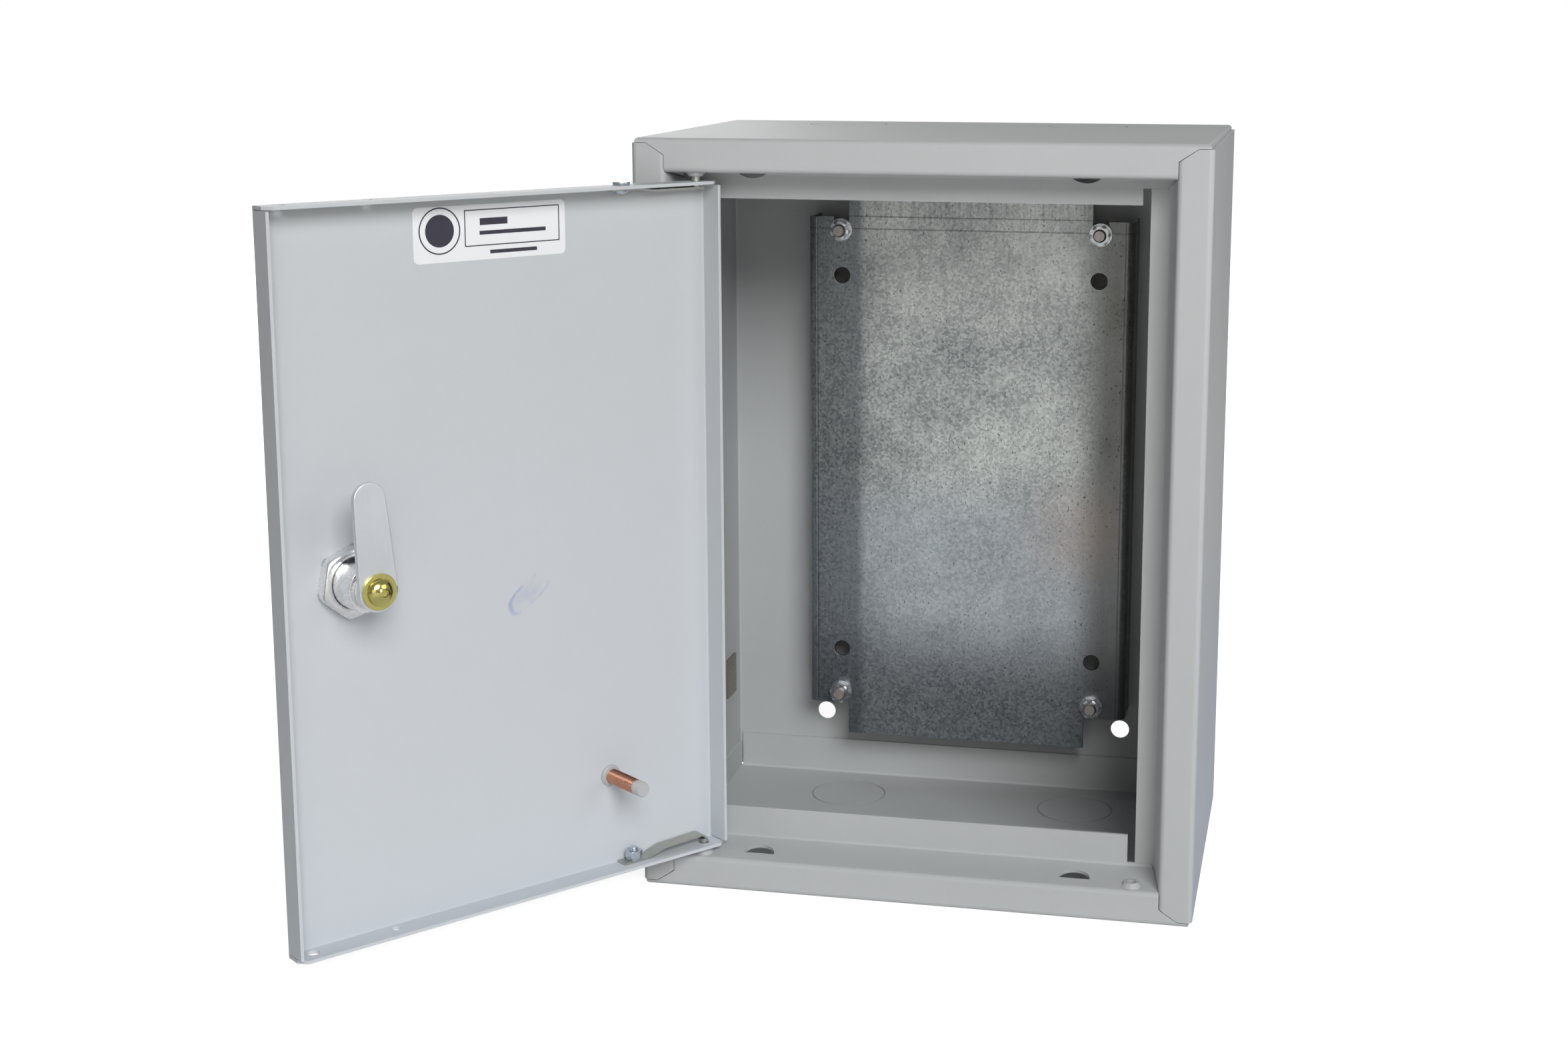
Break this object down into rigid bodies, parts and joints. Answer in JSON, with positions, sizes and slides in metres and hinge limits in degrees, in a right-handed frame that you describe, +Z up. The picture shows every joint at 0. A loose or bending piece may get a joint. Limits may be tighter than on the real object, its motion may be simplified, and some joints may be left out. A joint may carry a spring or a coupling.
{
  "type": "fire alarm control panel enclosure",
  "caption": "Wall-mounted sheet-steel control panel cabinet with a hinged door, quarter-turn cam lock, earth stud and raised galvanised mounting plate on welded studs.",
  "frame": {"origin": "centre of the four wall holes on the cabinet's back face", "axes": "+X right seen from the front, +Y into the wall, +Z up; the front faces -Y"},
  "size_m": [0.3101, 0.2893, 0.3],
  "materials": {
    "powder_coat": "light grey powder coat with a fine orange-peel texture",
    "galvanised": "hot-dip galvanised with spangles and small dark pits",
    "zinc_plated": "bright zinc plate",
    "bare_steel": "bare steel, dull",
    "spring_steel": "satin spring steel",
    "copper_plated": "copper plate with painted base and tip",
    "label": "printed vinyl, satin",
    "chrome": "bright chrome",
    "cam_zinc": "zinc plate, satin",
    "yellow_zinc": "yellow passivated zinc, glossy"
  },
  "bodies": {
    "cabinet": {"cabinet_shell": "powder_coat", "bottom_cap": "powder_coat", "top_cap": "powder_coat", "mounting_plate": "galvanised", "side_earth_plate": "bare_steel", "plate_stud_lower_left": "zinc_plated", "plate_washer_lower_left": "zinc_plated", "plate_nut_lower_left": "zinc_plated", "plate_stud_lower_right": "zinc_plated", "plate_washer_lower_right": "zinc_plated", "plate_nut_lower_right": "zinc_plated", "plate_stud_upper_left": "zinc_plated", "plate_washer_upper_left": "zinc_plated", "plate_nut_upper_left": "zinc_plated", "plate_stud_upper_right": "zinc_plated", "plate_washer_upper_right": "zinc_plated", "plate_nut_upper_right": "zinc_plated"},
    "door": {"door_pan": "powder_coat", "door_earth_stud": "copper_plated", "inspection_label": "label", "lock_housing": "chrome", "lock_nut": "chrome", "hinge_strip_lower": "spring_steel", "hinge_screw_lower": "zinc_plated", "hinge_spring_washer_lower": "zinc_plated", "hinge_nut_lower": "zinc_plated", "hinge_strip_upper": "spring_steel", "hinge_rivet_upper": "zinc_plated"},
    "cam": {"lock_core": "chrome", "lock_cam": "cam_zinc", "cam_washer": "yellow_zinc", "cam_screw": "yellow_zinc"}
  },
  "joints": [
    {"name": "door_hinge", "type": "hinge", "parent": "cabinet", "child": "door", "pos_m": [-0.086, -0.1445, 0], "axis": [0, 0, 1], "range_deg": [-2, 128]},
    {"name": "lock_turn", "type": "hinge", "parent": "door", "child": "cam", "pos_m": [-0.18244, -0.259, 0], "axis": [0.788, -0.6157, 0], "range_deg": [-4, 86]}
  ]
}
